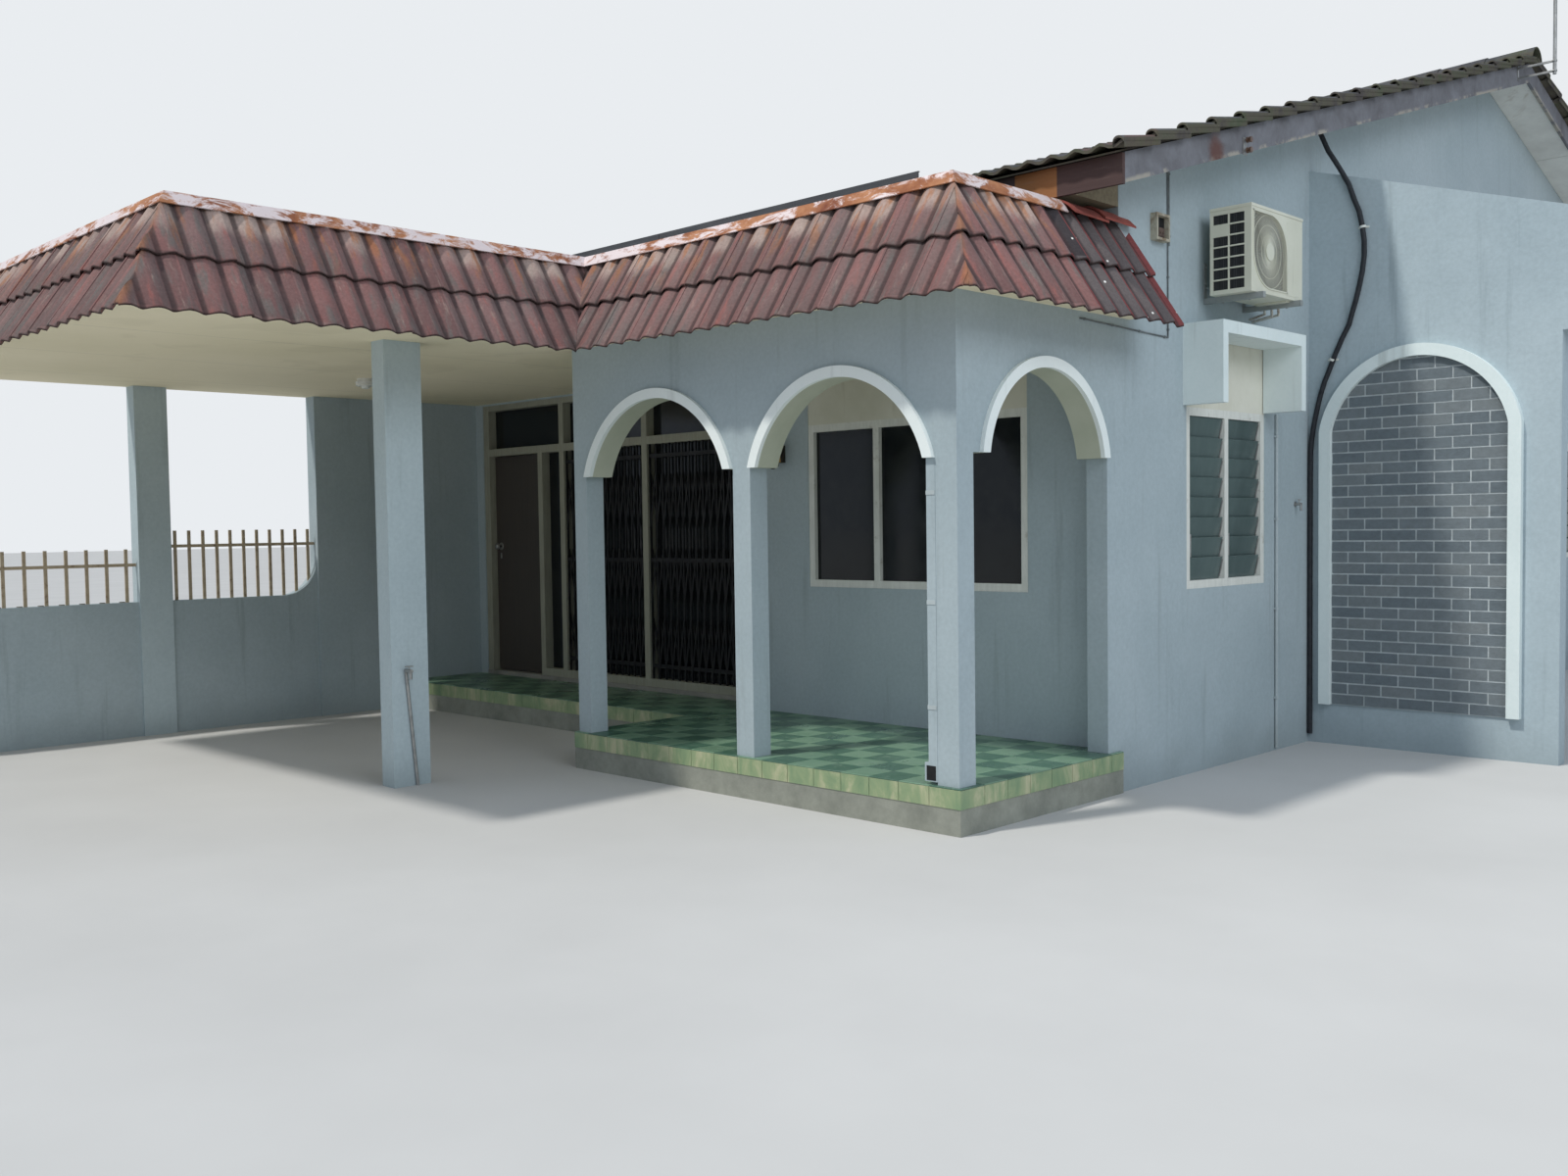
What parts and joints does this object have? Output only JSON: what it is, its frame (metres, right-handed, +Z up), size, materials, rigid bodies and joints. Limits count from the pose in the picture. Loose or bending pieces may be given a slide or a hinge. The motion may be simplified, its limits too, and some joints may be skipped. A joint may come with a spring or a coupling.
{
  "type": "end-of-row bungalow with an arched porch and a car porch",
  "caption": "Hollow single-storey gabled house with an arched porch, a flat car porch edged in roof tiles, a wing wall with a blind arch, and a hinged entrance door.",
  "frame": {"origin": "centre of the floor slab's underside at ground level, straight under the roof's ridge", "axes": "+X towards the gable and the wing wall, -Y towards the street, +Z up"},
  "size_m": [9.77, 17.152, 6.6706],
  "materials": {
    "concrete": "matte",
    "floor_tile": "glazed",
    "wall_paint": "matte, painted render",
    "white_paint": "matte, painted render",
    "soffit_paint": "matte",
    "skirt_tile": "weathered",
    "flashing": "rusty",
    "railing": "matte",
    "roof_tile": "weathered",
    "timber_grey": "weathered",
    "timber_brown": "weathered",
    "soffit_board": "matte",
    "gutter_metal": "satin",
    "brick": "matte",
    "frame_paint": "painted",
    "glass": "clear",
    "blade_glass": "frosted",
    "panel": "matte",
    "door_frame": "painted",
    "door_leaf": "satin",
    "grille": "satin",
    "unit_shell": "satin",
    "steel": "galvanised",
    "black_pipe": "satin",
    "lamp": "satin"
  },
  "bodies": {
    "house": {"house_floor": "concrete", "porch_floor": "floor_tile", "gable_wall": "wall_paint", "party_wall": "wall_paint", "rear_wall": "wall_paint", "bedroom_wall": "wall_paint", "living_wall_piers": "wall_paint", "living_wall_lintel": "wall_paint", "porch_front_wall": "wall_paint", "porch_side_wall": "wall_paint", "porch_piers": "wall_paint", "arch_trims": "white_paint", "flat_roof_slab": "soffit_paint", "roof_kerb": "concrete", "tile_skirt": "skirt_tile", "cap_flashing": "flashing", "carport_columns": "wall_paint", "fence_wall": "wall_paint", "fence_railing": "railing", "main_roof_front": "roof_tile", "main_roof_rear": "roof_tile", "ridge_tiles": "roof_tile", "barge_boards": "timber_grey", "fascia_boards": "timber_brown", "soffit_boards": "soffit_board", "eave_gutter": "gutter_metal", "wing_wall": "wall_paint", "blind_arch_trim": "white_paint", "brick_panel": "brick", "window_hoods": "white_paint", "window_frames": "frame_paint", "window_glass": "glass", "louvre_blades": "blade_glass", "window_panels": "panel", "entrance_frame": "door_frame", "folding_grilles": "grille", "cooling_unit": "unit_shell", "unit_bracket": "steel", "meter_box": "panel", "water_pipe": "black_pipe", "downpipe": "wall_paint", "porch_lamps": "lamp", "column_tap": "steel", "aerial_mast": "steel"},
    "entrance_door": {"entrance_door": "door_leaf"}
  },
  "joints": [
    {"name": "entrance_door_hinge", "type": "hinge", "parent": "house", "child": "entrance_door", "pos_m": [-2.4365, -5.691, 1.2525], "axis": [0, 0, -1], "range_deg": [0, 90]}
  ]
}
